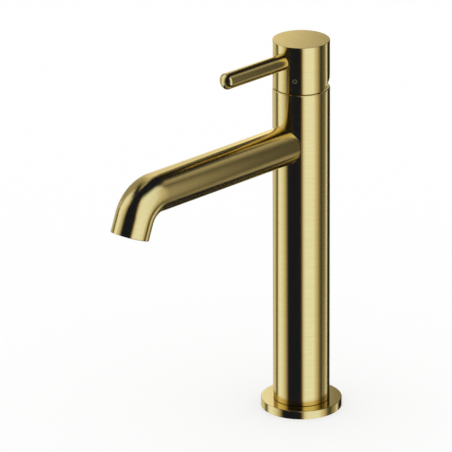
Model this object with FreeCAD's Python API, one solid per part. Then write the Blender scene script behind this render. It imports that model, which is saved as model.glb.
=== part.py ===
import FreeCAD, Part
import math
import os
from FreeCAD import Vector

# Tall basin mixer faucet with a lever head, in millimetres.
# Origin: centre of the flange's underside, on the column's axis. +Z is up, the spout and lever point to -Y.

# Column and the bore that holds the cartridge
cartridge_diameter = 34.6
cartridge_clearance = 1.0
column_wall = 2.7
lower_wall = 3.5
column_height = 243.6
rim_round = 1.0
seam_height = 0.35
seam_depth = 0.8

# Base flange, its gasket and the threaded foot
flange_rim = 9.0
flange_thickness = 6.4
flange_round = 0.5
gasket_inset = 3.0
gasket_width = 6.5
gasket_thickness = 1.8
foot_depth = 18.0
foot_break = 0.7
spigot_step = 1.3
hose_slot_radius = 6.5
stud_hole_radius = 3.32
stud_wall = 1.2

# Spout
spout_below_seat = 11.0
spout_diameter = 29.0
spout_wall = 3.5
spout_run = 150.4
bend_radius = 22.0
bend_angle = 68.8
outlet_stub = 13.1
outlet_diameter = 28.0
outlet_wall = 2.0
outlet_round = 0.3
root_blend = 0.3

# Aerator in the spout's end
aerator_recess = 0.8
aerator_height = 8.5
aerator_wall = 2.0
aerator_lip = 0.8
aerator_key_width = 2.4
aerator_key_depth = 1.4
insert_height = 4.5
insert_hole_radius = 1.0
insert_hole_pitch = 2.9
screen_height = 1.2
screen_hole_radius = 0.7
screen_hole_pitch = 2.4
washer_thickness = 2.0
washer_width = 3.0

# Valve block under the cartridge
port_radius = 6.0
port_drop = 4.5
groove_depth = 3.0
block_land = 8.5
inlet_spacing = 16.0
inlet_thread_radius = 4.46
inlet_depth = 10.0
passage_radius = 2.4
mixed_passage_radius = 3.0
block_ring_cord = 2.4
foot_ring_cord = 1.8
turret_ring_cord = 1.6

# Cartridge, from the nut down to the seat
nut_depth = 7.0
nut_notch_width = 4.0
nut_notch_depth = 2.5
nut_collar_height = 1.6
dome_wall = 1.2
dome_clearance = 0.45
housing_wall = 1.7
housing_roof = 3.1
neck_wall = 2.1
turret_flange = 4.2
turret_neck_radius = 11.0
turret_rise = 4.0
guide_height = 3.0
guide_width = 13.4
guide_length = 15.0
guide_gap = 0.45
carrier_plate = 2.4
carrier_gap = 0.35
moving_disc_thickness = 3.6
fixed_disc_thickness = 4.0
disc_film = 0.05
disc_margin = 0.7
base_plate = 5.0
chamber_radius = 5.2
chamber_depth = 2.0
chamber_stretch = 2.4
port_land = 0.9
kidney_half_width = 2.1
kidney_start = 25.0
kidney_end = 75.0
outlet_port_radius = 2.6
inlet_port_angle = 50.0
seal_bore = 2.0
seal_wall = 1.4
peg_radius = 2.0
peg_length = 3.0
peg_inset = 3.9
lug_radius = 1.3
lug_height = 2.0
lug_inset = 1.8
dog_radius = 1.4
dog_length = 1.4
dog_spacing = 16.0

# Turn stop and lever lift
turn_limit = 50.0
stop_tab_angle = 10.0
stop_height = 2.0
lift_limit = 25.0
pivot_below_rim = 2.0
pivot_pin_radius = 1.5
stem_width = 8.0
stem_neck_radius = 2.2
stem_shoulder = 4.5
stem_point = 1.0
ball_radius = 2.9

# Head and lever
head_gap = 0.9
head_reveal = 0.15
head_height = 35.1
head_round = 0.4
head_wall = 3.2
head_roof = 3.5
head_boss_wall = 3.9
head_boss_drop = 18.5
bevel_start = 0.5
bevel_angle = 30.0
lever_below_top = 12.6
lever_diameter = 12.1
lever_reach = 81.0
lever_end_round = 2.2
lever_dome_angle = 48.0
lever_seat_depth = 3.4
lever_boss_wall = 1.8
lever_thread_radius = 4.0
lever_tail_gap = 1.45
stem_above_lever = 4.6
set_screw_length = 5.0
set_screw_key = 4.0
set_screw_key_depth = 3.0

# Clearances
thread_clearance = 0.1
slip_clearance = 0.2
running_clearance = 0.3
pin_clearance = 0.08
seal_clearance = 0.05
stop_clearance = 0.6
overcut = 1.0
tolerance = 0.001

# Radii that follow from the sizes above
cartridge_radius = cartridge_diameter / 2
bore_radius = cartridge_radius + cartridge_clearance
column_radius = bore_radius + column_wall
lower_bore_radius = column_radius - lower_wall
flange_radius = column_radius + flange_rim
foot_radius = bore_radius - thread_clearance
spigot_radius = foot_radius - spigot_step
flange_bore_radius = spigot_radius + running_clearance
gasket_outer = flange_radius - gasket_inset
gasket_inner = gasket_outer - gasket_width
stud_offset = hose_slot_radius + stud_wall + stud_hole_radius
inlet_offset = inlet_spacing / 2
block_radius = bore_radius - thread_clearance
spout_radius = spout_diameter / 2
spout_bore = spout_radius - spout_wall
outlet_radius = outlet_diameter / 2
outlet_bore = outlet_radius - outlet_wall
aerator_radius = outlet_bore - thread_clearance
aerator_bore = aerator_radius - aerator_wall
housing_bore = cartridge_radius - housing_wall
peg_circle = cartridge_radius - peg_inset
neck_bore = turret_neck_radius + running_clearance
neck_radius = neck_bore + neck_wall
nut_bore = neck_radius + running_clearance
head_radius = column_radius - head_reveal
head_bore = head_radius - head_wall
dome_radius = head_bore - dome_clearance
lever_radius = lever_diameter / 2
stem_half = stem_width / 2
head_boss_radius = stem_half + head_boss_wall
seal_radius = seal_bore + seal_wall
port_circle = chamber_radius + port_land + kidney_half_width

# Heights, from the rim down through the cartridge to the seat and the spout
rim_z = flange_thickness + column_height
shoulder_z = rim_z - nut_depth
housing_roof_z = shoulder_z - housing_roof
turret_flange_top = housing_roof_z - running_clearance
turret_flange_low = turret_flange_top - turret_flange
carrier_plate_top = turret_flange_low - carrier_gap
carrier_low = carrier_plate_top - carrier_plate
guide_top = carrier_plate_top + guide_height
moving_disc_low = carrier_low - moving_disc_thickness
fixed_disc_top = moving_disc_low - disc_film
fixed_disc_low = fixed_disc_top - fixed_disc_thickness
seat_z = fixed_disc_low - base_plate
spout_z = seat_z - spout_below_seat
port_z = spout_z - port_drop
groove_low = port_z - port_radius
groove_top = port_z + port_radius
block_low = groove_low - block_land
turret_top = rim_z + turret_rise
pivot_z = rim_z - pivot_below_rim
socket_floor = carrier_low + 2 * slip_clearance
ball_z = socket_floor + slip_clearance + seal_clearance + ball_radius
head_low = rim_z + head_gap
head_top = head_low + head_height
head_roof_z = head_top - head_roof
head_boss_low = head_roof_z - head_boss_drop
lever_z = head_top - lever_below_top
stem_top = lever_z + stem_above_lever

# Motion of the lever, and how far it carries the moving disc
lift = math.radians(lift_limit)
disc_stroke = (pivot_z - ball_z) * math.sin(lift)
disc_centre = disc_stroke / 2
moving_disc_radius = housing_bore - disc_stroke / 2 - disc_margin
inlet_port_x = port_circle * math.sin(math.radians(inlet_port_angle))
inlet_port_y = -port_circle * math.cos(math.radians(inlet_port_angle))

axis_z = Vector(0, 0, 1)
axis_x = Vector(1, 0, 0)
to_front = Vector(0, -1, 0)


def disc(radius, low, high, x=0.0, y=0.0):
    """Upright cylinder between two heights."""
    return Part.makeCylinder(radius, high - low, Vector(x, y, low), axis_z)


def ring(outer, inner, low, high):
    """Upright tube between two heights."""
    return disc(outer, low, high).cut(disc(inner, low - overcut, high + overcut))


def rod_to_front(radius, start, end, z, x=0.0):
    """Cylinder along -Y, between two distances in front of the axis."""
    return Part.makeCylinder(radius, end - start, Vector(x, -start, z), to_front)


def brick(x_half, y_low, y_high, low, high):
    """Upright rectangular prism, symmetric about the YZ plane."""
    return Part.makeBox(2 * x_half, y_high - y_low, high - low, Vector(-x_half, y_low, low))


def prism_along_x(corners, half_width):
    """Prism along X through corners given as (y, z)."""
    points = [Vector(-half_width, y, z) for y, z in corners]
    face = Part.Face(Part.makePolygon(points + points[:1]))
    return face.extrude(Vector(2 * half_width, 0, 0))


def stadium(start, end, radius, low, high):
    """Upright prism with round ends, centred on the line from start to end in XY."""
    along = Vector(end[0] - start[0], end[1] - start[1], 0)
    along.normalize()
    side = Vector(-along.y, along.x, 0) * radius
    first = Vector(start[0], start[1], low)
    last = Vector(end[0], end[1], low)
    edges = [
        Part.LineSegment(first + side, last + side).toShape(),
        Part.Arc(last + side, last + along * radius, last - side).toShape(),
        Part.LineSegment(last - side, first - side).toShape(),
        Part.Arc(first - side, first - along * radius, first + side).toShape(),
    ]
    return Part.Face(Part.Wire(edges)).extrude(Vector(0, 0, high - low))


def kidney(mid_radius, half_width, start_angle, end_angle, low, high):
    """Upright prism along an arc about the axis; angles run from -Y towards +X."""

    def at(radius, degrees):
        angle = math.radians(degrees)
        return Vector(radius * math.sin(angle), -radius * math.cos(angle), low)

    inner = mid_radius - half_width
    outer = mid_radius + half_width
    middle = (start_angle + end_angle) / 2
    cap = math.degrees(half_width / mid_radius)
    edges = [
        Part.Arc(at(outer, start_angle), at(outer, middle), at(outer, end_angle)).toShape(),
        Part.Arc(at(outer, end_angle), at(mid_radius, end_angle + cap), at(inner, end_angle)).toShape(),
        Part.Arc(at(inner, end_angle), at(inner, middle), at(inner, start_angle)).toShape(),
        Part.Arc(at(inner, start_angle), at(mid_radius, start_angle - cap), at(outer, start_angle)).toShape(),
    ]
    return Part.Face(Part.Wire(edges)).extrude(Vector(0, 0, high - low))


def mirrored(shape):
    """The shape's twin on the other side of the YZ plane."""
    return shape.mirror(Vector(0, 0, 0), axis_x)


def rim_edges(shape, radius, z):
    """Round edges of the given radius at the given height, about the axis."""
    found = []
    for edge in shape.Edges:
        curve = edge.Curve
        if not isinstance(curve, Part.Circle):
            continue
        centre = curve.Center
        on_axis = math.hypot(centre.x, centre.y) < tolerance
        if on_axis and abs(centre.z - z) < tolerance and abs(curve.Radius - radius) < tolerance:
            found.append(edge)
    return found


def ring_centre(bore, cord):
    """Centre-line radius of a sealing ring that seats in a bore."""
    return bore - seal_clearance - cord / 2


def sealing_ring(bore, cord, z):
    """Rubber ring in a groove, seated against the bore around it."""
    return Part.makeTorus(ring_centre(bore, cord), cord / 2, Vector(0, 0, z), axis_z)


def ring_groove(bore, cord, z):
    """Square groove that takes the sealing ring."""
    floor = ring_centre(bore, cord) - cord / 2 - seal_clearance
    half = cord / 2 + seal_clearance
    return ring(bore + overcut, floor, z - half, z + half)


def make_flange():
    """Round base plate with a bore for the foot and a groove for the gasket."""
    plate = disc(flange_radius, 0, flange_thickness)
    plate = plate.makeFillet(flange_round, rim_edges(plate, flange_radius, flange_thickness))
    bore = disc(flange_bore_radius, -overcut, flange_thickness + overcut)
    groove = ring(gasket_outer + slip_clearance, gasket_inner - slip_clearance, -overcut, gasket_thickness)
    return plate.cut([bore, groove])


def make_gasket():
    """Flat rubber ring, flush with the flange's underside."""
    return ring(gasket_outer, gasket_inner, 0, gasket_thickness)


foot_ring_z = flange_thickness / 2


def make_foot():
    """Threaded plug in the column's lower end, with a hose slot and two stud holes."""
    top = flange_thickness + foot_depth
    plug = disc(foot_radius, flange_thickness, top)
    plug = plug.makeChamfer(foot_break, rim_edges(plug, foot_radius, top))
    spigot = disc(spigot_radius, 0, flange_thickness)
    low = -overcut
    high = top + overcut
    slot = stadium((-inlet_offset, 0), (inlet_offset, 0), hose_slot_radius, low, high)
    studs = [disc(stud_hole_radius, low, high, 0, side * stud_offset) for side in (-1, 1)]
    groove = ring_groove(flange_bore_radius, foot_ring_cord, foot_ring_z)
    return plug.fuse(spigot).removeSplitter().cut([slot, groove] + studs)


def bend_centre():
    """Centre of the spout's bend."""
    return Vector(0, -spout_run, spout_z - bend_radius)


def on_bend(degrees):
    """Centre-line point of the bend, the given angle after its start."""
    angle = math.radians(degrees)
    return bend_centre() + Vector(0, -math.sin(angle), math.cos(angle)) * bend_radius


def outlet_direction():
    """Direction in which the water leaves."""
    angle = math.radians(bend_angle)
    return Vector(0, -math.cos(angle), -math.sin(angle))


def outlet_point():
    """Centre of the spout's end face."""
    return on_bend(bend_angle) + outlet_direction() * outlet_stub


def spout_outside():
    """Straight run, a bend that narrows towards the outlet, and the outlet stub."""
    run = rod_to_front(spout_radius, 0, spout_run, spout_z)
    path = Part.Wire([Part.Arc(on_bend(0), on_bend(bend_angle / 2), on_bend(bend_angle)).toShape()])
    first = Part.Wire([Part.Circle(on_bend(0), to_front, spout_radius).toShape()])
    last = Part.Wire([Part.Circle(on_bend(bend_angle), outlet_direction(), outlet_radius).toShape()])
    bend = path.makePipeShell([first, last], True, False)
    stub = Part.makeCylinder(outlet_radius, outlet_stub, on_bend(bend_angle), outlet_direction())
    return run.fuse([bend, stub])


def waterway():
    """Bore along the spout's centre line, from the column's outside past the end face."""
    run = rod_to_front(spout_bore, column_radius, spout_run, spout_z)
    circle = Part.Circle(on_bend(0), to_front, spout_bore)
    section = Part.Face(Part.Wire([circle.toShape()]))
    bend = section.revolve(bend_centre(), axis_x, bend_angle)
    stub = Part.makeCylinder(spout_bore, outlet_stub + overcut, on_bend(bend_angle), outlet_direction())
    return run.fuse([bend, stub])


def at_outlet(shape):
    """Place a shape made about +Z, with Z = 0 at the outlet, into the spout's end."""
    shape.rotate(Vector(0, 0, 0), axis_x, bend_angle - 90)
    shape.translate(outlet_point())
    return shape


def on_spout_root(edge):
    """True for an edge where the spout's outside meets the column's outside."""
    first, last = edge.ParameterRange
    point = edge.valueAt((first + last) / 2)
    from_column = abs(math.hypot(point.x, point.y) - column_radius)
    from_spout = abs(math.hypot(point.x, point.z - spout_z) - spout_radius)
    return from_column < tolerance and from_spout < tolerance


def outlet_edges(shape):
    """The round edge of the spout's end face."""
    found = []
    for edge in shape.Edges:
        is_round = isinstance(edge.Curve, Part.Circle)
        if is_round and edge.Curve.Center.distanceToPoint(outlet_point()) < tolerance:
            found.append(edge)
    return found


aerator_depth = aerator_recess + aerator_height + washer_thickness


def make_body():
    """Column with the spout blended into it, bored for the foot, block, cartridge and aerator."""
    column = disc(column_radius, flange_thickness, rim_z)
    column = column.makeFillet(rim_round, rim_edges(column, column_radius, rim_z))
    spout = spout_outside()
    spout = spout.makeFillet(outlet_round, outlet_edges(spout))
    body = column.fuse(spout).removeSplitter()
    body = body.makeFillet(root_blend, [edge for edge in body.Edges if on_spout_root(edge)])
    foot_top = flange_thickness + foot_depth
    seam_top = flange_thickness + seam_height
    cuts = [
        ring(column_radius + overcut, column_radius - seam_depth, flange_thickness - overcut, seam_top),
        disc(bore_radius, flange_thickness - overcut, foot_top),
        disc(lower_bore_radius, foot_top - overcut, block_low + overcut),
        disc(bore_radius, block_low, rim_z + overcut),
        waterway(),
        rod_to_front(port_radius, lower_bore_radius / 2, column_radius + overcut, port_z),
        at_outlet(disc(outlet_bore, -overcut, aerator_depth)),
    ]
    return body.cut(cuts)


upper_ring_z = (groove_top + seat_z) / 2
lower_ring_z = block_low + block_land / 2


def slanted_passage():
    """Bore from the top of the cold inlet to its port in the seat."""
    start = Vector(inlet_offset, 0, block_low + inlet_depth - overcut)
    end = Vector(inlet_port_x, inlet_port_y, seat_z)
    along = end - start
    length = along.Length
    along.normalize()
    return Part.makeCylinder(passage_radius, length + 2 * overcut, start, along)


def seat_pegs(radius, low, high):
    """Pair of pegs that keep the cartridge from turning on its seat."""
    reach = peg_circle * math.sqrt(0.5)
    peg = disc(radius, low, high, reach, reach)
    return [peg, mirrored(peg)]


def make_block():
    """Brass seat for the cartridge, with two threaded inlets and a mixed-water groove."""
    body = disc(block_radius, block_low, seat_z)
    inlet = disc(inlet_thread_radius, block_low - overcut, block_low + inlet_depth, inlet_offset, 0)
    passage = slanted_passage()
    cuts = [
        inlet,
        mirrored(inlet),
        passage,
        mirrored(passage),
        ring(block_radius + overcut, block_radius - groove_depth, groove_low, groove_top),
        disc(mixed_passage_radius, port_z, seat_z + overcut),
        rod_to_front(mixed_passage_radius, 0, block_radius + overcut, port_z),
        ring_groove(bore_radius, block_ring_cord, upper_ring_z),
        ring_groove(bore_radius, block_ring_cord, lower_ring_z),
    ]
    cuts += seat_pegs(peg_radius + slip_clearance, seat_z - peg_length - slip_clearance, seat_z + overcut)
    return body.cut(cuts)


def make_block_rings():
    """Two sealing rings, above and below the mixed-water groove."""
    rings = [sealing_ring(bore_radius, block_ring_cord, z) for z in (lower_ring_z, upper_ring_z)]
    return Part.makeCompound(rings)


def port_places():
    """Centres of the hot, cold and mixed ports in the seat."""
    return [(-inlet_port_x, inlet_port_y), (inlet_port_x, inlet_port_y), (0.0, 0.0)]


lug_y = housing_bore - slip_clearance - lug_inset


def make_base():
    """Cartridge floor with three seal holes, two pegs and a lug for the fixed disc."""
    plate = disc(cartridge_radius, seat_z, fixed_disc_low)
    pegs = seat_pegs(peg_radius, seat_z - peg_length, seat_z)
    lug = disc(lug_radius, fixed_disc_low, fixed_disc_low + lug_height, 0, lug_y)
    holes = []
    for x, y in port_places():
        holes.append(disc(seal_radius + thread_clearance, seat_z - overcut, fixed_disc_low + overcut, x, y))
    return plate.fuse(pegs + [lug]).removeSplitter().cut(holes)


def make_port_seals():
    """Three rubber sleeves that pass through the cartridge floor."""
    seals = []
    for x, y in port_places():
        hole = disc(seal_bore, seat_z - overcut, fixed_disc_low + overcut, x, y)
        seals.append(disc(seal_radius, seat_z, fixed_disc_low, x, y).cut(hole))
    return Part.makeCompound(seals)


def make_fixed_disc():
    """Ceramic disc with a middle outlet and two kidney-shaped inlets."""
    low = fixed_disc_low - overcut
    high = fixed_disc_top + overcut
    body = disc(housing_bore - slip_clearance, fixed_disc_low, fixed_disc_top)
    cold = kidney(port_circle, kidney_half_width, kidney_start, kidney_end, low, high)
    outlet = disc(outlet_port_radius, low, high)
    lug_hole = disc(lug_radius + slip_clearance, low, fixed_disc_low + lug_height + slip_clearance, 0, lug_y)
    return body.cut([cold, mirrored(cold), outlet, lug_hole])


def drive_dogs(radius, low, high):
    """Pair of dogs that carry the moving disc."""
    dog = disc(radius, low, high, dog_spacing / 2, disc_centre)
    return [dog, mirrored(dog)]


def make_moving_disc():
    """Ceramic disc with a mixing chamber underneath, drawn closed."""
    body = disc(moving_disc_radius, moving_disc_low, carrier_low, 0, disc_centre)
    chamber = stadium((0, 0), (0, chamber_stretch), chamber_radius,
                      moving_disc_low - overcut, moving_disc_low + chamber_depth)
    holes = drive_dogs(dog_radius + slip_clearance, carrier_low - dog_length - slip_clearance,
                       carrier_low + overcut)
    return body.cut([chamber] + holes)


def make_carrier():
    """Plastic slider on the moving disc, with a guide block and a socket for the stem's ball."""
    plate = disc(moving_disc_radius + slip_clearance, carrier_low, carrier_plate_top, 0, disc_centre)
    guide = brick(guide_width / 2, disc_centre - guide_length / 2, disc_centre + guide_length / 2,
                  carrier_low, guide_top)
    dogs = drive_dogs(dog_radius, carrier_low - dog_length, carrier_low)
    socket = disc(ball_radius + running_clearance, socket_floor, guide_top + overcut)
    return plate.fuse([guide] + dogs).removeSplitter().cut(socket)


def stop_sector(outer, inner, low, high, half_angle):
    """Part of a ring, within half_angle of +Y."""
    reach = 2 * outer
    angle = math.radians(half_angle)
    edge = Vector(reach * math.sin(angle), reach * math.cos(angle), low)
    far = Vector(0, reach * 2, low)
    corners = [Vector(0, 0, low), edge, far, Vector(-edge.x, edge.y, low), Vector(0, 0, low)]
    wedge = Part.Face(Part.makePolygon(corners)).extrude(Vector(0, 0, high - low))
    return ring(outer, inner, low, high).common(wedge)


def make_housing():
    """Cartridge sleeve with a necked roof, and a stop wall round part of the neck."""
    sleeve = ring(cartridge_radius, housing_bore, fixed_disc_low, housing_roof_z)
    roof = ring(cartridge_radius, neck_bore, housing_roof_z, shoulder_z)
    neck = ring(neck_radius, neck_bore, shoulder_z, rim_z + stop_height)
    gap = stop_sector(neck_radius + overcut, neck_bore - overcut, rim_z, rim_z + stop_height + overcut,
                      turn_limit + stop_tab_angle + stop_clearance)
    return sleeve.fuse([roof, neck]).removeSplitter().cut(gap)


def slot_reach(height):
    """How far the tilted stem reaches from the axis, at a height above or below its pivot."""
    return stem_half / math.cos(lift) + abs(height) * math.tan(lift) + running_clearance


def stem_slot():
    """Space that the stem sweeps inside the turret, from upright to fully lifted."""
    low = turret_flange_low - overcut
    high = turret_top + overcut
    upright = stem_half + running_clearance
    corners = [
        (-upright, high),
        (slot_reach(high - pivot_z), high),
        (slot_reach(0), pivot_z),
        (upright, low),
        (-slot_reach(low - pivot_z), low),
        (-slot_reach(0), pivot_z),
    ]
    return prism_along_x(corners, stem_half + slip_clearance)


turret_ring_z = (shoulder_z + pivot_z - pivot_pin_radius) / 2 - turret_ring_cord


def make_turret():
    """Rotating stem guide: flange with a channel for the carrier, neck with a slot and a stop tab."""
    flange = disc(housing_bore - running_clearance, turret_flange_low, turret_flange_top)
    neck = disc(turret_neck_radius, turret_flange_top, turret_top)
    tab = stop_sector(neck_radius - slip_clearance, stem_half, rim_z + running_clearance,
                      rim_z + stop_height, stop_tab_angle)
    channel = brick(guide_width / 2 + running_clearance, -cartridge_radius, cartridge_radius,
                    turret_flange_low - overcut, guide_top + guide_gap)
    pin_hole = Part.makeCylinder(pivot_pin_radius + seal_clearance / 5, 2 * cartridge_radius,
                                 Vector(-cartridge_radius, 0, pivot_z), axis_x)
    groove = ring_groove(neck_bore - slip_clearance, turret_ring_cord, turret_ring_z)
    return flange.fuse([neck, tab]).removeSplitter().cut([stem_slot(), channel, pin_hole, groove])


def make_pivot_pin():
    """Steel pin across the turret, on which the stem tilts."""
    half = turret_neck_radius - 2 * slip_clearance
    return Part.makeCylinder(pivot_pin_radius, 2 * half, Vector(-half, 0, pivot_z), axis_x)


def make_stem():
    """Square spindle with an eye for the pin and a ball that drives the carrier."""
    low = pivot_z - stem_shoulder
    square = brick(stem_half, -stem_half, stem_half, low, stem_top)
    top_edges = [edge for edge in square.Edges if abs(edge.BoundBox.ZMin - stem_top) < tolerance]
    square = square.makeChamfer(stem_point, top_edges)
    neck = disc(stem_neck_radius, ball_z, low)
    ball = Part.makeSphere(ball_radius, Vector(0, 0, ball_z))
    eye = Part.makeCylinder(pivot_pin_radius + pin_clearance, stem_width + 2 * overcut,
                            Vector(-stem_half - overcut, 0, pivot_z), axis_x)
    return square.fuse([neck, ball]).removeSplitter().cut(eye)


def nut_collar_radius():
    """Radius of the nut's collar, which fits inside the dome's foot."""
    height = pivot_below_rim + nut_collar_height
    return math.sqrt((dome_radius - dome_wall) ** 2 - height ** 2) - slip_clearance


def make_nut():
    """Ring nut that clamps the cartridge, with a collar for the dome and four spanner notches."""
    thread = ring(foot_radius, nut_bore, shoulder_z, rim_z)
    collar = ring(nut_collar_radius(), nut_bore, rim_z, rim_z + nut_collar_height)
    notch = brick(nut_notch_width / 2, nut_collar_radius(), bore_radius + overcut,
                  rim_z - nut_notch_depth, rim_z + overcut)
    notches = []
    for quarter in range(4):
        turned = notch.copy()
        turned.rotate(Vector(0, 0, 0), axis_z, 45 + 90 * quarter)
        notches.append(turned)
    return thread.fuse(collar).removeSplitter().cut(notches)


def make_cover_dome():
    """Thin dome about the lever's pivot that hides the nut and the cartridge's neck."""
    pivot = Vector(0, 0, pivot_z)
    shell = Part.makeSphere(dome_radius, pivot).cut(Part.makeSphere(dome_radius - dome_wall, pivot))
    return shell.common(ring(column_radius, nut_bore, rim_z, rim_z + dome_radius))


def bevel_cut():
    """Wedge under the head's rear half, which lets it tilt back."""
    slope = math.tan(math.radians(bevel_angle))
    reach = head_radius + overcut
    corners = [
        (bevel_start - overcut / slope, head_low - overcut),
        (reach, head_low - overcut),
        (reach, head_low + (reach - bevel_start) * slope),
    ]
    return prism_along_x(corners, reach)


lever_seat = head_radius - lever_seat_depth
lever_tail = lever_seat - stem_half - set_screw_length - lever_tail_gap


def make_head():
    """Hollow cylinder head with a bevelled rear edge and inner bosses for the stem and the lever."""
    outer = disc(head_radius, head_low, head_top)
    outer = outer.makeFillet(head_round, rim_edges(outer, head_radius, head_top))
    shell = outer.cut([disc(head_bore, head_low - overcut, head_roof_z), bevel_cut()])
    stem_boss = disc(head_boss_radius, head_boss_low, head_roof_z)
    lever_boss = rod_to_front(lever_radius + lever_boss_wall, 0, head_bore + overcut, lever_z)
    lever_boss = lever_boss.common(disc(head_bore + overcut / 2, head_boss_low, head_roof_z + overcut / 2))
    socket = brick(stem_half + thread_clearance, -stem_half - thread_clearance, stem_half + thread_clearance,
                   head_boss_low - overcut, stem_top + slip_clearance)
    thread = rod_to_front(lever_thread_radius, 0, lever_seat + overcut, lever_z)
    seat = rod_to_front(lever_radius + seal_clearance, lever_seat, head_radius + overcut, lever_z)
    return shell.fuse([stem_boss, lever_boss]).removeSplitter().cut([socket, thread, seat])


def make_lever():
    """Turned rod with a domed end and a threaded tail that screws into the head."""
    length = lever_reach - lever_seat
    dome = math.radians(lever_dome_angle)
    corner = lever_radius - lever_end_round
    dome_radius = corner / math.sin(dome) + lever_end_round
    dome_height = length - dome_radius
    corner_height = dome_height + (dome_radius - lever_end_round) * math.cos(dome)

    def on_dome(angle):
        return Vector(dome_radius * math.sin(angle), 0, dome_height + dome_radius * math.cos(angle))

    def on_corner(angle):
        return Vector(corner + lever_end_round * math.sin(angle), 0,
                      corner_height + lever_end_round * math.cos(angle))

    quarter = math.pi / 2
    side_low = Vector(lever_radius, 0, 0)
    side_high = on_corner(quarter)
    tip = on_dome(0)
    edges = [
        Part.LineSegment(Vector(0, 0, 0), side_low).toShape(),
        Part.LineSegment(side_low, side_high).toShape(),
        Part.Arc(side_high, on_corner((quarter + dome) / 2), on_corner(dome)).toShape(),
        Part.Arc(on_dome(dome), on_dome(dome / 2), tip).toShape(),
        Part.LineSegment(tip, Vector(0, 0, 0)).toShape(),
    ]
    profile = Part.Face(Part.Wire(edges))
    rod = profile.revolve(Vector(0, 0, 0), axis_z, 360)
    tail = disc(lever_thread_radius - thread_clearance, -lever_tail, 0)
    lever = rod.fuse(tail).removeSplitter()
    lever.rotate(Vector(0, 0, 0), axis_x, 90)
    lever.translate(Vector(0, -lever_seat, lever_z))
    return lever


def hexagon_prism(across_flats, low, high):
    """Upright hexagonal prism."""
    corner = across_flats / math.sqrt(3)
    points = []
    for step in range(7):
        angle = math.radians(60 * step)
        points.append(Vector(corner * math.cos(angle), corner * math.sin(angle), low))
    return Part.Face(Part.makePolygon(points)).extrude(Vector(0, 0, high - low))


def make_set_screw():
    """Grub screw behind the lever's tail that clamps the stem in the head."""
    screw = disc(lever_thread_radius - thread_clearance, 0, set_screw_length)
    key = hexagon_prism(set_screw_key, set_screw_length - set_screw_key_depth, set_screw_length + overcut)
    screw = screw.cut(key)
    screw.rotate(Vector(0, 0, 0), axis_x, 90)
    screw.translate(Vector(0, -stem_half, lever_z))
    return screw


def hole_pattern(limit, radius, pitch, low, high):
    """Round holes on a triangular grid, within a radius of the axis."""
    holes = []
    rows = int(limit / pitch) + 1
    for row in range(-rows, rows + 1):
        for column in range(-rows, rows + 1):
            x = (column + row / 2) * pitch
            y = row * pitch * math.sqrt(3) / 2
            if math.hypot(x, y) + radius < limit:
                holes.append(disc(radius, low, high, x, y))
    return holes


insert_low = aerator_recess + aerator_lip
insert_top = insert_low + insert_height
screen_top = insert_top + screen_height
insert_radius = aerator_bore - slip_clearance


def make_aerator_shell():
    """Threaded ring in the outlet, with a lip under the insert and four key notches."""
    outer = disc(aerator_radius, aerator_recess, aerator_recess + aerator_height)
    bore = disc(aerator_bore, insert_low, aerator_recess + aerator_height + overcut)
    mouth = disc(aerator_bore - aerator_lip, aerator_recess - overcut, insert_low + overcut)
    notch = brick(aerator_key_width / 2, -aerator_radius - overcut, aerator_radius + overcut,
                  aerator_recess - overcut, aerator_recess + aerator_key_depth)
    crossed = notch.copy()
    crossed.rotate(Vector(0, 0, 0), axis_z, 90)
    inside = disc(aerator_bore + slip_clearance, aerator_recess - overcut, insert_low + aerator_key_depth)
    return at_outlet(outer.cut([bore, mouth, notch.cut(inside), crossed.cut(inside)]))


def make_aerator_insert():
    """Flow straightener: a thick disc with a triangular grid of holes."""
    body = disc(insert_radius, insert_low, insert_top)
    limit = insert_radius - aerator_lip
    holes = hole_pattern(limit, insert_hole_radius, insert_hole_pitch, insert_low - overcut, insert_top + overcut)
    return at_outlet(body.cut(holes))


def make_aerator_screen():
    """Fine strainer on top of the flow straightener."""
    body = disc(insert_radius, insert_top, screen_top)
    limit = insert_radius - aerator_lip
    holes = hole_pattern(limit, screen_hole_radius, screen_hole_pitch, insert_top - overcut, screen_top + overcut)
    return at_outlet(body.cut(holes))


def make_aerator_washer():
    """Rubber washer between the aerator and the shoulder in the spout."""
    low = aerator_recess + aerator_height
    return at_outlet(ring(aerator_radius, aerator_radius - washer_width, low, low + washer_thickness))


pieces = {
    "base_flange": make_flange(),
    "base_gasket": make_gasket(),
    "mounting_foot": make_foot(),
    "foot_o_ring": sealing_ring(flange_bore_radius, foot_ring_cord, foot_ring_z),
    "faucet_body": make_body(),
    "valve_block": make_block(),
    "block_o_rings": make_block_rings(),
    "cartridge_base": make_base(),
    "port_seals": make_port_seals(),
    "fixed_disc": make_fixed_disc(),
    "moving_disc": make_moving_disc(),
    "disc_carrier": make_carrier(),
    "cartridge_housing": make_housing(),
    "stem_turret": make_turret(),
    "turret_o_ring": sealing_ring(neck_bore - slip_clearance, turret_ring_cord, turret_ring_z),
    "pivot_pin": make_pivot_pin(),
    "stem": make_stem(),
    "cartridge_nut": make_nut(),
    "cover_dome": make_cover_dome(),
    "head_shell": make_head(),
    "lever_arm": make_lever(),
    "stem_set_screw": make_set_screw(),
    "aerator_shell": make_aerator_shell(),
    "aerator_insert": make_aerator_insert(),
    "aerator_screen": make_aerator_screen(),
    "aerator_washer": make_aerator_washer(),
}

os.makedirs("parts", exist_ok=True)
for name, shape in pieces.items():
    shape.exportStep("parts/" + name + ".step")
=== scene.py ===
import math
import bmesh
import bpy
from mathutils import Matrix, Vector


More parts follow.
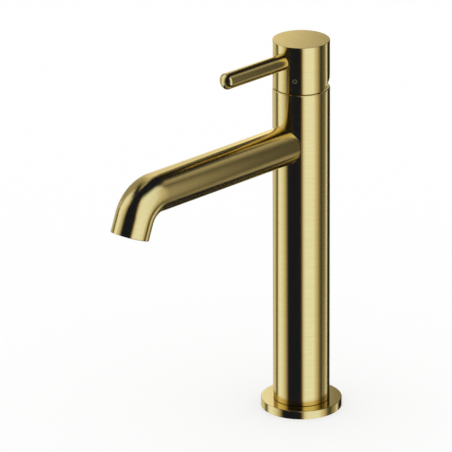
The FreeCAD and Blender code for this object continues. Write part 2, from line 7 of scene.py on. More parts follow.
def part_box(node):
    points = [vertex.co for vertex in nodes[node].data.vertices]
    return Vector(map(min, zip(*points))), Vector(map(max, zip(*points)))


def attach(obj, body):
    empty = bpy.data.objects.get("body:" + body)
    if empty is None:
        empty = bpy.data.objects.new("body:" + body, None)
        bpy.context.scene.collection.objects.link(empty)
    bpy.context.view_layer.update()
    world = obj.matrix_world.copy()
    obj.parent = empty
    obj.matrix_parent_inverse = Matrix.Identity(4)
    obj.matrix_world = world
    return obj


# Tall basin mixer faucet in brushed gold, dressed on its solids. All sizes are in metres.
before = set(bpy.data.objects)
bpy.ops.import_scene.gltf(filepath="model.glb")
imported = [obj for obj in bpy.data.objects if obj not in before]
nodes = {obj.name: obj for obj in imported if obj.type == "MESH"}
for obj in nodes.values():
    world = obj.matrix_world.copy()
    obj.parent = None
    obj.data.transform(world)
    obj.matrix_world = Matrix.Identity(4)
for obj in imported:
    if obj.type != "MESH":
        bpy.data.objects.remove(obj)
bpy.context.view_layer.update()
scene = bpy.context.scene
scene.view_settings.view_transform = "Standard"

# Head, lever and column, from their solids
head_low, head_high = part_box("head_shell")
lever_low, lever_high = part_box("lever_arm")
head_radius = head_high.x
column_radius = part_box("faucet_body")[1].x
lever_height = (lever_low.z + lever_high.z) / 2

# Spout: a straight run forward and a bend down to the outlet, which the brush lines follow
spout_height = 0.209
spout_run = 0.1504
bend_radius = 0.022
bend_angle = math.radians(68.8)

# Spout's root: where the lines pass from the column to the spout, and the painted shade at its sides
root_start = 0.0002
root_blend = 0.0006
root_shade_start = 0.0095
root_shade_end = 0.0135
root_shade_share = 0.85

# Column's rim under the head: a gold land, and painted shade inside it
head_gap = 0.0009
rim_height = head_low.z - head_gap
rim_painted_shade_radius = 0.0188
rim_land_start = 0.0006
rim_land_end = 0.0003
rim_shade_depth = 0.004

# Seam between the column and the flange: painted shade on the column below its top, and on the flange's top
# inside the column's foot
seam_height = 0.0003
seam_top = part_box("base_flange")[1].z + seam_height
seat_inset = 0.0001

# How far a face looks up, as a share, before it counts as a top
flat_start = 0.6
flat_end = 0.8

# Camera at the photograph's viewing angle
view_azimuth = math.radians(44.495)
view_elevation = math.radians(21.126)
view_roll = math.radians(-0.3866)
view_distance = 3.5
view_lens = 380.56
view_far = 100.0
aim_height = 0.141775
aim_aside = -0.055103

# Studio: a white surround, a pale floor, and a dark tent with light cards that only the gold reflects
floor_tone = (0.995, 0.995, 0.995)
floor_white = 0.5
floor_half = 20.0
floor_height = 0.00005
tent_radius = 12.0
tent_steps = 48
tent_tone = (0.012, 0.0165, 0.048)
card_radius = 5.0
card_steps = 48
lean_start = math.radians(-23.0)
cool_start = 0.7
cool_span = 0.3
cool_tint = (0.03, 0.25, 0.9)

# Finish of the gold
gold_light = (0.800, 0.594, 0.204)
gold_dark = (0.705, 0.520, 0.175)
gold_anisotropy = 0.8
side_roughness = 0.16
head_top_roughness = 0.34
flange_top_roughness = 0.10
rim_land_roughness = 0.22
gold_edge_tint = (1.0, 1.0, 0.85)
# Painted shade: the dark colour put in the joints, the seam and beside the spout's root
painted_joint_shade = (0.020, 0.016, 0.010)
etched_gold = (0.50, 0.42, 0.22)
etched_dulling = 0.8
etched_smoothest = 0.6
etched_roughest = 0.8
etched_grain = 9000.0

# Brush lines and grain: how many lines cross a metre, how far they run, and how deep they are
hair_lines = 7000.0
band_lines = 900.0
sweep_lines = 380.0
sweep_share = 0.35
hair_share = 0.5
line_detail = 2.0
long_streak = 60.0
turned_streak = 120.0
round_top_spread = 50.0
noise_low = 0.3
noise_high = 0.7
noise_fineness = 0.6
grain_detail = 3.0
line_rough_low = 0.95
line_rough_high = 1.05
brush_relief = 0.000004
brush_strength = 0.1
turning_relief = 0.00001
turning_strength = 0.3
grain_strength = 0.4
grain_scale = 3000.0
cloud_scale = 120.0

# Points closer than this merge
merge_distance = 1e-7

# Temperature marks on the head, each side of the lever
mark_angle = math.radians(31.0)
mark_height = 0.2606
mark_radius = 0.0016
mark_line = 0.0005
mark_depth = 0.00006
mark_proud = mark_depth / 3
mark_steps = 48

# Slip ring in the joint under the head
slip_ring_radius = 0.0194
slip_ring_width = 0.0005
slip_ring_lift = 0.00001
slip_ring_top = 0.00034
slip_ring_half_turn = math.radians(88.0)
slip_ring_steps = 96


class Tree:
    """Short calls that add nodes to one node tree and link them."""

    def __init__(self, tree):
        self.tree = tree

    def feed(self, socket, value):
        if isinstance(value, bpy.types.NodeSocket):
            self.tree.links.new(value, socket)
        else:
            socket.default_value = value

    def node(self, kind, values=None, **settings):
        made = self.tree.nodes.new(kind)
        for name, value in settings.items():
            setattr(made, name, value)
        for socket, value in (values or {}).items():
            self.feed(made.inputs[socket], value)
        return made

    def math(self, operation, *values):
        made = self.node("ShaderNodeMath", operation=operation)
        for place, value in enumerate(values):
            self.feed(made.inputs[place], value)
        return made.outputs[0]

    def remap(self, value, low, high, new_low, new_high):
        made = self.node("ShaderNodeMapRange", {
            "Value": value, "From Min": low, "From Max": high, "To Min": new_low, "To Max": new_high})
        return made.outputs["Result"]

    def step(self, value, low, high):
        made = self.node("ShaderNodeMapRange", {"Value": value, "From Min": low, "From Max": high},
                         interpolation_type="SMOOTHSTEP")
        return made.outputs["Result"]

    def below(self, value, limit):
        return self.math("LESS_THAN", value, limit)

    def reach(self, x, y):
        squares = self.math("ADD", self.math("MULTIPLY", x, x), self.math("MULTIPLY", y, y))
        return self.math("SQRT", squares)

    def split(self, vector):
        return self.node("ShaderNodeSeparateXYZ", {"Vector": vector}).outputs

    def join(self, x, y, z):
        return self.node("ShaderNodeCombineXYZ", {"X": x, "Y": y, "Z": z}).outputs["Vector"]

    def noise(self, vector, scale=1.0, detail=2.0, roughness=0.5):
        made = self.node("ShaderNodeTexNoise", {
            "Vector": vector, "Scale": scale, "Detail": detail, "Roughness": roughness})
        return made.outputs["Fac"]

    def mixed(self, share, first, second, **settings):
        made = self.node("ShaderNodeMix", **settings)
        self.feed(made.inputs["Factor"], share)
        self.feed(made.inputs["A"], first)
        self.feed(made.inputs["B"], second)
        return made.outputs["Result"]

    def blend(self, share, first, second):
        return self.mixed(share, first, second, data_type="RGBA")

    def blend_vector(self, share, first, second):
        return self.mixed(share, first, second, data_type="VECTOR")

    def relief(self, strength, depth, height):
        made = self.node("ShaderNodeBump", {"Strength": strength, "Distance": depth, "Height": height})
        return made.outputs["Normal"]

    def place(self):
        return self.node("ShaderNodeTexCoord").outputs["Object"]

    def facing_up(self):
        normal = self.node("ShaderNodeTexCoord").outputs["Normal"]
        return self.step(self.split(normal)["Z"], flat_start, flat_end)

    def to_world(self, vector):
        made = self.node("ShaderNodeVectorTransform", {"Vector": vector}, vector_type="VECTOR",
                         convert_from="OBJECT", convert_to="WORLD")
        return made.outputs["Vector"]


def shared_group(name, inputs, outputs):
    """Shader node group with named sockets; returns the group, its tree calls and its two end nodes."""
    group = bpy.data.node_groups.new(name, "ShaderNodeTree")
    for socket, kind, value in inputs:
        made = group.interface.new_socket(socket, in_out="INPUT", socket_type=kind)
        if value is not None:
            made.default_value = value
    for socket, kind in outputs:
        group.interface.new_socket(socket, in_out="OUTPUT", socket_type=kind)
    tree = Tree(group)
    return group, tree, tree.node("NodeGroupInput").outputs, tree.node("NodeGroupOutput").inputs


def brush_line_group():
    """Hairlines left by a brush; Place has Z across the lines."""
    group, tree, given, out = shared_group(
        "brush_lines",
        [("Place", "NodeSocketVector", None), ("Streak", "NodeSocketFloat", long_streak)],
        [("Tone", "NodeSocketFloat"), ("Rough", "NodeSocketFloat"), ("Height", "NodeSocketFloat"),
         ("Sweep", "NodeSocketFloat")])
    long_way = given["Streak"]

    def lines(per_metre, detail):
        scale = tree.join(long_way, long_way, per_metre)
        stretched = tree.node("ShaderNodeVectorMath", {0: given["Place"], 1: scale}, operation="MULTIPLY")
        return tree.noise(stretched.outputs["Vector"], detail=detail, roughness=noise_fineness)

    hair = lines(hair_lines, line_detail)
    band = lines(band_lines, grain_detail)
    sweep = lines(sweep_lines, line_detail)
    both = tree.math("ADD", tree.math("MULTIPLY", hair, hair_share),
                     tree.math("MULTIPLY", band, 1 - hair_share))
    tree.feed(out["Tone"], tree.remap(both, noise_low, noise_high, 0.0, 1.0))
    tree.feed(out["Rough"], tree.remap(hair, noise_low, noise_high, 0.0, 1.0))
    tree.feed(out["Height"], both)
    tree.feed(out["Sweep"], tree.remap(sweep, noise_low, noise_high, -sweep_share, sweep_share))
    return group


def grain_group():
    """Fine speckle and soft clouds for moulded, rubber and fired pieces."""
    group, tree, given, out = shared_group(
        "fine_grain",
        [("Scale", "NodeSocketFloat", grain_scale)],
        [("Speckle", "NodeSocketFloat"), ("Cloud", "NodeSocketFloat")])
    place = tree.place()
    speckle = tree.noise(place, scale=given["Scale"], detail=grain_detail, roughness=noise_fineness)
    tree.feed(out["Speckle"], speckle)
    tree.feed(out["Cloud"], tree.noise(place, scale=cloud_scale, detail=grain_detail))
    return group


brush_lines = brush_line_group()
fine_grain = grain_group()


def new_material(name):
    """Empty material with a Principled surface; returns it, its tree calls and the surface node."""
    material = bpy.data.materials.new(name)
    material.use_nodes = True
    material.node_tree.nodes.clear()
    tree = Tree(material.node_tree)
    surface = tree.node("ShaderNodeBsdfPrincipled")
    output = tree.node("ShaderNodeOutputMaterial")
    tree.feed(output.inputs["Surface"], surface.outputs["BSDF"])
    return material, tree, surface


# A brush gives the place that its lines are drawn on, the way across them, the share of each face that is
#  a flat top, and the share that gets painted shade.
def upright_brush(tree):
    """Lines round a vertical axis."""
    return tree.place(), tree.join(0.0, 0.0, 1.0), 0.0, 0.0


def lever_brush(tree):
    """Lines round the lever, which points to the front."""
    x, y, z = tree.split(tree.place())
    across = tree.math("SUBTRACT", z, lever_height)
    return tree.join(x, across, y), tree.join(0.0, 1.0, 0.0), 0.0, 0.0


def head_brush(tree):
    """Lines round the head's side, and straight across its top from side to side."""
    place = tree.place()
    x, y, z = tree.split(place)
    top = tree.facing_up()
    lines = tree.blend_vector(top, place, tree.join(x, z, y))
    return lines, tree.blend_vector(top, (0, 0, 1), (0, 1, 0)), top, 0.0


def flange_brush(tree):
    """Lines round the flange, on its rim and on its top; its top under the column gets painted shade."""
    place = tree.place()
    x, y, z = tree.split(place)
    top = tree.facing_up()
    reach = tree.reach(x, y)
    spread = tree.math("MULTIPLY", reach, round_top_spread)
    turned = tree.join(tree.math("DIVIDE", x, spread), tree.math("DIVIDE", y, spread), reach)
    lines = tree.blend_vector(top, place, turned)
    # Painted shade on the top, inside the column's foot
    painted_shade = tree.math("MULTIPLY", top, tree.below(reach, column_radius - seat_inset))
    return lines, tree.blend_vector(top, (0, 0, 1), tree.join(x, y, 0.0)), top, painted_shade


def body_brush(tree):
    """Lines round the column, and round the spout along its bend; painted shade at the joints at its ends
    and at the sides of the spout's root.
    """
    place = tree.place()
    x, y, z = tree.split(place)
    reach = tree.reach(x, y)
    on_spout = tree.step(reach, column_radius + root_start, column_radius + root_blend)
    forward = tree.math("SUBTRACT", -spout_run, y)
    above = tree.math("SUBTRACT", z, spout_height - bend_radius)
    turn = tree.math("ARCTAN2", forward, above)
    turn = tree.math("MINIMUM", tree.math("MAXIMUM", turn, 0.0), bend_angle)
    sine = tree.math("SINE", turn)
    cosine = tree.math("COSINE", turn)
    along = tree.math("SUBTRACT", tree.math("MULTIPLY", forward, cosine), tree.math("MULTIPLY", above, sine))
    along = tree.math("ADD", along, tree.math("MULTIPLY", turn, bend_radius))
    outward = tree.math("ADD", tree.math("MULTIPLY", forward, sine), tree.math("MULTIPLY", above, cosine))
    unrolled = tree.join(x, tree.math("SUBTRACT", outward, bend_radius), along)
    lines = tree.blend_vector(on_spout, place, unrolled)
    spout_axis = tree.join(0.0, tree.math("MULTIPLY", cosine, -1.0), tree.math("MULTIPLY", sine, -1.0))
    across = tree.blend_vector(on_spout, (0, 0, 1), spout_axis)
    at_rim = tree.step(z, rim_height - rim_land_start, rim_height - rim_land_end)
    land = tree.math("MULTIPLY", tree.facing_up(), at_rim)
    # Painted shade inside the rim under the head, below the seam's top, and beside the spout's root at its
    # sides
    near_rim = tree.math("GREATER_THAN", z, rim_height - rim_shade_depth)
    inside_rim = tree.math("MULTIPLY", near_rim, tree.below(reach, rim_painted_shade_radius))
    from_root = tree.math("ABSOLUTE", tree.math("SUBTRACT", reach, column_radius + root_blend / 2))
    aside = tree.remap(tree.math("ABSOLUTE", x), root_shade_start, root_shade_end, 0.0, root_shade_share)
    root_side = tree.math("MULTIPLY", tree.below(from_root, root_blend / 2), aside)
    ends = tree.math("MAXIMUM", inside_rim, tree.below(z, seam_top))
    return lines, across, land, tree.math("MAXIMUM", ends, root_side)


def brushed_gold(name, brush, flat_roughness=side_roughness):
    """Brushed gold whose lines and stretched highlights follow the piece's own turning."""
    material, tree, surface = new_material(name)
    place, across, flat, painted_shade = brush(tree)
    lines = tree.node("ShaderNodeGroup", node_tree=brush_lines)
    tree.feed(lines.inputs["Place"], place)
    surface.inputs["Metallic"].default_value = 1.0
    surface.inputs["Anisotropic"].default_value = gold_anisotropy
    surface.inputs["Specular Tint"].default_value = (*gold_edge_tint, 1.0)
    tone = tree.math("ADD", lines.outputs["Tone"], tree.math("MULTIPLY", lines.outputs["Sweep"], flat))
    gold = tree.blend(tone, (*gold_dark, 1.0), (*gold_light, 1.0))
    # The brush's shade share turns the gold to the painted shade colour
    tree.feed(surface.inputs["Base Color"], tree.blend(painted_shade, gold, (*painted_joint_shade, 1.0)))
    rough = tree.remap(flat, 0.0, 1.0, side_roughness, flat_roughness)
    uneven = tree.remap(lines.outputs["Rough"], 0.0, 1.0, line_rough_low, line_rough_high)
    tree.feed(surface.inputs["Roughness"], tree.math("MULTIPLY", rough, uneven))
    tree.feed(surface.inputs["Tangent"], tree.to_world(across))
    relief = tree.relief(brush_strength, brush_relief, lines.outputs["Height"])
    tree.feed(surface.inputs["Normal"], relief)
    return material


def turned_metal(name, dark, light, smoothest, roughest):
    """Bare metal with turning marks round the vertical axis."""
    material, tree, surface = new_material(name)
    lines = tree.node("ShaderNodeGroup", node_tree=brush_lines)
    tree.feed(lines.inputs["Place"], tree.place())
    tree.feed(lines.inputs["Streak"], turned_streak)
    surface.inputs["Metallic"].default_value = 1.0
    tree.feed(surface.inputs["Base Color"], tree.blend(lines.outputs["Tone"], (*dark, 1.0), (*light, 1.0)))
    rough = tree.remap(lines.outputs["Rough"], 0.0, 1.0, smoothest, roughest)
    tree.feed(surface.inputs["Roughness"], rough)
    relief = tree.relief(turning_strength, turning_relief, lines.outputs["Height"])
    tree.feed(surface.inputs["Normal"], relief)
    return material


def grained(name, dark, light, smoothest, roughest, scale, relief):
    """Moulded plastic, rubber or ceramic with a fine grain."""
    material, tree, surface = new_material(name)
    grain = tree.node("ShaderNodeGroup", node_tree=fine_grain)
    tree.feed(grain.inputs["Scale"], scale)
    tree.feed(surface.inputs["Base Color"], tree.blend(grain.outputs["Cloud"], (*dark, 1.0), (*light, 1.0)))
    rough = tree.remap(grain.outputs["Speckle"], noise_low, noise_high, smoothest, roughest)
    tree.feed(surface.inputs["Roughness"], rough)
    tree.feed(surface.inputs["Normal"], tree.relief(grain_strength, relief, grain.outputs["Speckle"]))
    return material


def etched_mark_finish():
    """Dull gold of a mark etched into the brushed surface."""
    material, tree, surface = new_material("etched_mark")
    grain = tree.node("ShaderNodeGroup", node_tree=fine_grain)
    tree.feed(grain.inputs["Scale"], etched_grain)
    surface.inputs["Metallic"].default_value = 1.0
    dull = tuple(etched_dulling * tone for tone in etched_gold)
    speckled = tree.blend(grain.outputs["Speckle"], (*dull, 1.0), (*etched_gold, 1.0))
    tree.feed(surface.inputs["Base Color"], speckled)
    rough = tree.remap(grain.outputs["Speckle"], noise_low, noise_high, etched_smoothest, etched_roughest)
    tree.feed(surface.inputs["Roughness"], rough)
    return material


def dress(material, *names):
    """Gives CAD nodes one finish."""
    for name in names:
        mesh = nodes[name].data
        mesh.materials.clear()
        mesh.materials.append(material)


def dress_the_faucet():
    dress(brushed_gold("gold_column_and_spout", body_brush, rim_land_roughness), "faucet_body")
    dress(brushed_gold("gold_head", head_brush, head_top_roughness), "head_shell")
    dress(brushed_gold("gold_lever", lever_brush), "lever_arm")
    dress(brushed_gold("gold_flange", flange_brush, flange_top_roughness), "base_flange")
    dress(brushed_gold("gold_dome", upright_brush), "cover_dome")
    dress(turned_metal("turned_brass", dark=(0.58, 0.43, 0.20), light=(0.74, 0.57, 0.29),
                       smoothest=0.22, roughest=0.38),
          "mounting_foot", "valve_block", "cartridge_nut", "stem")
    dress(turned_metal("bright_steel", dark=(0.42, 0.42, 0.41), light=(0.60, 0.60, 0.58),
                       smoothest=0.18, roughest=0.32),
          "pivot_pin", "stem_set_screw")
    dress(grained("black_rubber", dark=(0.012, 0.012, 0.013), light=(0.028, 0.028, 0.029),
                  smoothest=0.55, roughest=0.80, scale=2500.0, relief=0.00004),
          "base_gasket", "foot_o_ring", "block_o_rings", "port_seals", "turret_o_ring", "aerator_washer")
    dress(grained("grey_acetal", dark=(0.16, 0.17, 0.18), light=(0.22, 0.23, 0.24),
                  smoothest=0.35, roughest=0.50, scale=4000.0, relief=0.00001),
          "cartridge_base", "cartridge_housing")
    dress(grained("white_acetal", dark=(0.70, 0.69, 0.66), light=(0.80, 0.79, 0.76),
                  smoothest=0.32, roughest=0.46, scale=4000.0, relief=0.00001),
          "stem_turret", "disc_carrier")
    dress(grained("white_ceramic", dark=(0.78, 0.77, 0.74), light=(0.86, 0.85, 0.82),
                  smoothest=0.08, roughest=0.18, scale=6000.0, relief=0.000003),
          "fixed_disc", "moving_disc")
    dress(grained("black_plastic", dark=(0.016, 0.016, 0.017), light=(0.030, 0.030, 0.031),
                  smoothest=0.30, roughest=0.48, scale=5000.0, relief=0.00001),
          "aerator_shell")
    dress(grained("pale_plastic", dark=(0.52, 0.53, 0.53), light=(0.62, 0.63, 0.62),
                  smoothest=0.30, roughest=0.45, scale=5000.0, relief=0.00001),
          "aerator_insert", "aerator_screen")


def mesh_of(name, shape):
    """Closes a bmesh into a named mesh."""
    mesh = bpy.data.meshes.new(name)
    shape.to_mesh(mesh)
    shape.free()
    return mesh


def gold_piece(name, shape, finish, body):
    """Puts a small gold piece of the faucet in the scene, on the body that carries it."""
    mesh = mesh_of(name, shape)
    mesh.materials.append(finish)
    piece = bpy.data.objects.new(name, mesh)
    scene.collection.objects.link(piece)
    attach(piece, body)


def wrap_on_head(flat, angle):
    """Bends flat work, X round the head and Z outwards, onto the head's side."""
    for vert in flat.verts:
        turn = angle + vert.co.x / head_radius
        reach = head_radius + vert.co.z
        vert.co = Vector((reach * math.sin(turn), -reach * math.cos(turn), mark_height + vert.co.y))


def mark_piece(name, angle, finish):
    """Thin ring let into the head's side."""
    flat = bmesh.new()
    outer = mark_radius
    inner = mark_radius - mark_line
    corners = [(inner, -mark_depth), (outer, -mark_depth), (outer, mark_proud), (inner, mark_proud)]
    section = [flat.verts.new((reach, 0, height)) for reach, height in corners]
    for first, second in zip(section, section[1:] + section[:1]):
        flat.edges.new((first, second))
    bmesh.ops.spin(flat, geom=flat.edges[:] + flat.verts[:], cent=(0, 0, 0), axis=(0, 0, 1),
                   angle=2 * math.pi, steps=mark_steps, use_merge=True)
    bmesh.ops.remove_doubles(flat, verts=flat.verts[:], dist=merge_distance)
    wrap_on_head(flat, angle)
    bmesh.ops.recalc_face_normals(flat, faces=flat.faces[:])
    gold_piece(name, flat, finish, "handle")


def add_temperature_marks():
    finish = etched_mark_finish()
    mark_piece("cold_mark", mark_angle, finish)
    mark_piece("hot_mark", -mark_angle, finish)


def add_slip_ring():
    """Thin gold ring on the rim, just inside the joint under the head; it ends where the head tips back."""
    low = rim_height + slip_ring_lift
    high = rim_height + slip_ring_top
    inner = slip_ring_radius - slip_ring_width
    ring = bmesh.new()
    corners = [(inner, low), (slip_ring_radius, low), (slip_ring_radius, high), (inner, high)]
    start = -math.pi / 2 - slip_ring_half_turn
    outward = Vector((math.cos(start), math.sin(start), 0))
    section = [ring.verts.new(reach * outward + Vector((0, 0, height))) for reach, height in corners]
    face = ring.faces.new(section)
    bmesh.ops.spin(ring, geom=[face, *face.edges, *face.verts], cent=(0, 0, 0), axis=(0, 0, 1),
                   angle=2 * slip_ring_half_turn, steps=slip_ring_steps, use_merge=False)
    bmesh.ops.remove_doubles(ring, verts=ring.verts[:], dist=merge_distance)
    bmesh.ops.recalc_face_normals(ring, faces=ring.faces[:])
    gold_piece("slip_ring", ring, brushed_gold("gold_slip_ring", upright_brush), "body")


def view_axes():
    """The camera's right, up and backward directions."""
    right = Vector((math.cos(view_azimuth), math.sin(view_azimuth), 0))
    toward = Vector((math.sin(view_azimuth), -math.cos(view_azimuth), 0))
    upward = Vector((0, 0, 1))
    up = math.cos(view_elevation) * upward - math.sin(view_elevation) * toward
    back = math.cos(view_elevation) * toward + math.sin(view_elevation) * upward
    return right, up, back


def add_camera():
    right, up, back = view_axes()
    level_right = math.cos(view_roll) * right + math.sin(view_roll) * up
    level_up = math.cos(view_roll) * up - math.sin(view_roll) * right
    aim = Vector((0, 0, aim_height)) + aim_aside * right
    camera = bpy.data.objects.new("camera", bpy.data.cameras.new("camera"))
    camera.data.lens = view_lens
    camera.data.clip_end = view_far
    turned = Matrix((level_right, level_up, back)).transposed().to_4x4()
    camera.matrix_world = Matrix.Translation(aim + view_distance * back) @ turned
    scene.collection.objects.link(camera)
    scene.camera = camera


def add_studio_light():
    world = bpy.data.worlds.new("white_surround")
    world.use_nodes = True
    background = world.node_tree.nodes["Background"]
    background.inputs["Color"].default_value = (1.0, 1.0, 1.0, 1.0)
    background.inputs["Strength"].default_value = 1.0
    world.cycles.sampling_method = "NONE"
    scene.world = world


def add_floor():
    """Pale floor that keeps the faucet's shadow, looks whiter to the camera than its light makes it, and
    isn't reflected by the gold."""
    flat = bmesh.new()
    bmesh.ops.create_grid(flat, x_segments=1, y_segments=1, size=floor_half,
                          matrix=Matrix.Translation((0, 0, floor_height)))
    mesh = mesh_of("floor", flat)
    material, tree, surface = new_material("pale_floor")
    output = material.node_tree.get_output_node("ALL")
    surface.inputs["Base Color"].default_value = (*floor_tone, 1.0)
    surface.inputs["Roughness"].default_value = 1.0
    surface.inputs["Specular IOR Level"].default_value = 0.0
    white = tree.node("ShaderNodeEmission", {"Color": (1.0, 1.0, 1.0, 1.0), "Strength": 1.0})
    seen = tree.math("MULTIPLY", tree.node("ShaderNodeLightPath").outputs["Is Camera Ray"], floor_white)
    whitened = tree.node("ShaderNodeMixShader", {
        "Fac": seen, 1: surface.outputs["BSDF"], 2: white.outputs["Emission"]})
    tree.feed(output.inputs["Surface"], whitened.outputs["Shader"])
    mesh.materials.append(material)
    floor = bpy.data.objects.new("floor", mesh)
    scene.collection.objects.link(floor)
    floor.visible_glossy = False


def lamp_colour(level, cool):
    """Grey of a card, or a colour given as it is; the brightest part of a lamp is a little cooler."""
    if isinstance(level, tuple):
        return (*level, 1.0)
    share = cool * min(max((level - cool_start) / cool_span, 0.0), 1.0)
    return (*(level * (1 + tint * share) for tint in cool_tint), 1.0)


def ramp_along(tree, value, stops, colour):
    """Runs from stop to stop along an angle in degrees."""
    first = stops[0][0]
    last = stops[-1][0]
    share = tree.remap(value, math.radians(first), math.radians(last), 0.0, 1.0)
    ramp = tree.node("ShaderNodeValToRGB", {"Fac": share})
    steps = ramp.color_ramp.elements
    while len(steps) < len(stops):
        steps.new(0.5)
    for step, (angle, level) in zip(steps, stops):
        step.position = (angle - first) / (last - first)
        step.color = colour(level)
    return ramp.outputs["Color"]


def glow(name):
    """Empty material that only shines; returns the material, its tree calls and the shining node."""
    material = bpy.data.materials.new(name)
    material.use_nodes = True
    material.node_tree.nodes.clear()
    material.cycles.emission_sampling = "NONE"
    tree = Tree(material.node_tree)
    light = tree.node("ShaderNodeEmission", {"Strength": 1.0})
    output = tree.node("ShaderNodeOutputMaterial")
    tree.feed(output.inputs["Surface"], light.outputs["Emission"])
    return material, tree, light


def card_finish(name, turns, rises, lean, reach, cool):
    """Card whose level runs from stop to stop round the faucet and up the card."""
    material, tree, light = glow(name)
    middle = (turns[0][0] + turns[-1][0]) / 2
    facing = view_azimuth - math.pi / 2 + math.radians(middle)
    x, y, z = tree.split(tree.node("ShaderNodeVectorRotate", {
        "Vector": tree.place(), "Angle": -facing}, rotation_type="Z_AXIS").outputs["Vector"])
    rise = tree.math("ARCTAN2", z, reach)
    turn = tree.math("ADD", tree.math("ARCTAN2", y, x), math.radians(middle))
    leaning = tree.remap(rise, lean_start, 0.0, 0.0, math.radians(lean))
    upright_turn = tree.math("SUBTRACT", turn, leaning)
    round_way = ramp_along(tree, upright_turn, turns, lambda level: lamp_colour(level, cool))
    up_way = ramp_along(tree, rise, rises, lambda level: (level, level, level, 1.0))
    both = tree.mixed(1.0, round_way, up_way, data_type="RGBA", blend_type="MULTIPLY")
    tree.feed(light.inputs["Color"], both)
    return material


def only_reflected(name, mesh):
    """Puts a studio piece in the scene that only reflections show."""
    piece = bpy.data.objects.new(name, mesh)
    scene.collection.objects.link(piece)
    piece.visible_camera = False
    piece.visible_diffuse = False
    piece.visible_shadow = False


def add_card(name, turns, rises, lean=0.0, reach=card_radius, cool=1.0):
    """Tall curved card: degrees right of the camera with a level each, and degrees up with a share each."""
    start = view_azimuth - math.pi / 2 + math.radians(turns[0][0])
    sweep = math.radians(turns[-1][0] - turns[0][0] + lean)
    bottom = reach * math.tan(math.radians(rises[0][0]))
    top = reach * math.tan(math.radians(rises[-1][0]))
    wall = bmesh.new()
    foot = Vector((reach * math.cos(start), reach * math.sin(start), bottom))
    low = wall.verts.new(foot)
    high = wall.verts.new(foot + Vector((0, 0, top - bottom)))
    edge = wall.edges.new((low, high))
    bmesh.ops.spin(wall, geom=[low, high, edge], cent=(0, 0, 0), axis=(0, 0, 1), angle=sweep,
                   steps=card_steps, use_merge=False)
    mesh = mesh_of(name, wall)
    mesh.materials.append(card_finish(name, turns, rises, lean, reach, cool))
    only_reflected(name, mesh)


def add_tent():
    """Dark tent round the cards."""
    tent = bmesh.new()
    bmesh.ops.create_uvsphere(tent, u_segments=tent_steps, v_segments=tent_steps // 2, radius=tent_radius)
    mesh = mesh_of("dark_tent", tent)
    material, tree, light = glow("dark_tent")
    light.inputs["Color"].default_value = (*tent_tone, 1.0)
    mesh.materials.append(material)
    only_reflected("dark_tent", mesh)


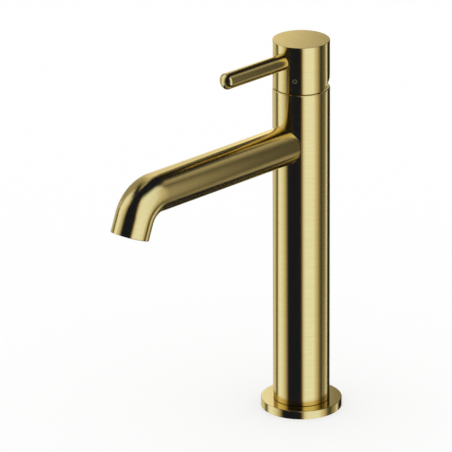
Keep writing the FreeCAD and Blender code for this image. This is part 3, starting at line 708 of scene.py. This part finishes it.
def add_cards():
    """Light and dark cards round the faucet, each named for where it stands or for what shows it."""
    lamp_rises = [(-40, 0.0), (-32, 1.0), (-6, 1.0), (10, 0.94), (45, 0.96), (51, 0.68), (57, 0.20),
                  (61, 0.0)]
    warm_edge = (0.36, 0.29, 0.20)
    brown = (0.024, 0.021, 0.014)
    add_card("left_lamp",
             [(-126, 0.9), (-110, 1.0), (-99, 1.0), (-90, 0.96), (-80, 0.87), (-72, 0.73), (-66, 0.53),
              (-61, 0.27), (-57, 0.09), (-54, 0.014)],
             lamp_rises)
    add_card("right_lamp",
             [(-2.4, 0.014), (3.3, warm_edge), (7.1, 0.79), (11.2, 0.92), (18, 1.0), (42, 1.0), (54, 0.96),
              (66, 0.96), (80, 0.86)],
             lamp_rises, lean=1.9)
    add_card("right_panel",
             [(52, 0.90), (62, 0.74), (70, 0.52), (75, 0.32), (80, 0.098), (84, 0.058), (89, 0.062)],
             [(-40, 1.0), (7, 1.0), (14, 0.92), (46, 0.92)], reach=0.5)
    add_card("right_side_card",
             [(84, 0.066), (92, 0.072), (96, 0.095), (101, 0.135), (107, 0.20), (113, 0.30)],
             [(-22, 0.6), (-17.5, 1.05), (22, 1.0), (30, 1.4), (36, 2.4), (44, 2.6), (47, 1.1), (49, 0.0)],
             reach=5.1)
    add_card("right_strip",
             [(113, 0.30), (117, 0.85), (125, 0.90), (130, 0.04)],
             [(-24, 0.85), (-19, 1.0), (0, 0.9), (35, 0.4), (44, 0.35), (47, 0.1), (52, 0.0)])
    add_card("right_low_card",
             [(84, 0.08), (90, 0.17), (96, 0.31), (101, 0.36), (105, 0.38), (109, 0.66), (122, 0.90),
              (127, 0.50), (131, 0.04)],
             [(-43, 0.0), (-40, 0.08), (-38, 0.45), (-35, 1.0), (-28, 0.95), (-22, 0.92)], reach=5.1)
    add_card("foot_card",
             [(64, 0.14), (70, 0.085), (76, 0.09), (80, 0.16), (83, 0.32), (85, 0.42)],
             [(-22, 1.0), (-11.7, 1.0)], reach=0.08)
    add_card("low_ring",
             [(-180, 0.22), (-120, 0.10), (-90, 0.45), (-60, 0.10), (0, 0.06), (30, 0.55), (70, 0.40),
              (100, 0.12), (140, 0.30), (180, 0.22)],
             [(-82, 1.0), (-58, 1.0)], reach=1.0)
    add_card("back_lamp",
             [(130, brown), (159, brown), (166, 0.30), (170, 0.58), (175, 0.80), (180, 0.90), (190, 0.92),
              (195, 0.62), (203, 0.50)],
             [(-40, 0.0), (-32, 1.0), (-12, 1.0), (2, 0.85), (46, 0.95), (54, 0.85)], cool=0.25)
    add_card("back_left_lamp",
             [(203, 0.32), (210, 0.38), (218, 0.37), (228, 0.38), (232, 0.34)],
             [(-40, 0.0), (-32, 2.0), (-15, 2.0), (3, 1.0), (46, 1.0), (54, 0.8)], cool=0.25)
    add_card("left_gap",
             [(229, 0.62), (234, 0.36), (238, 0.14), (242, 0.11), (245, 0.20), (249, 0.68), (253, 0.97)],
             [(-40, 1.0), (14, 1.0), (20, 1.5)], lean=8.9, reach=1.0)
    add_card("left_upper_lamp",
             [(232, 0.34), (240, 0.50), (248, 0.85)],
             [(14, 1.0), (46, 1.0), (56, 0.55), (62, 0.0)], reach=4.9, cool=0.25)
    add_card("back_high_lamp",
             [(166, 0.014), (172, 0.20), (178, 0.50), (184, 0.70), (190, 0.64), (198, 0.54), (206, 0.38),
              (214, 0.26), (222, 0.15), (233, 0.04)],
             [(54, 1.0), (68, 0.9), (73, 0.5)], reach=3.0)
    add_card("overhead_card",
             [(178, 0.20), (190, 0.40), (210, 0.42), (245, 0.42), (265, 0.34), (282, 0.20), (300, 0.014)],
             [(72, 0.4), (75, 1.0), (80, 1.0), (84, 0.2)], reach=1.0)
    add_card("flange_card",
             [(160, 0.18), (174, 0.22), (177, 0.42), (180, 0.74), (183, 1.04), (188, 1.12), (200, 1.0),
              (215, 0.6)],
             [(16.5, 1.0), (35, 1.0)], reach=0.4, cool=0.4)
    add_card("head_card",
             [(160, 0.28), (174, 0.40), (177, 0.78), (180, 1.18), (183, 1.56), (185, 1.26), (190, 0.88),
              (205, 0.84), (215, 0.65)],
             [(35, 0.8), (42, 1.0), (49, 1.0)], reach=0.4, cool=0.02)
    add_card("spout_top_card",
             [(160, 0.014), (176, 0.06), (179, 0.14), (182, 0.36), (185, 0.84), (190, 0.92), (205, 0.86),
              (215, 0.65)],
             [(49, 1.0), (59.5, 1.0)], reach=0.4, cool=0.3)


dress_the_faucet()
add_temperature_marks()
add_slip_ring()
add_camera()
add_studio_light()
add_floor()
add_tent()
add_cards()
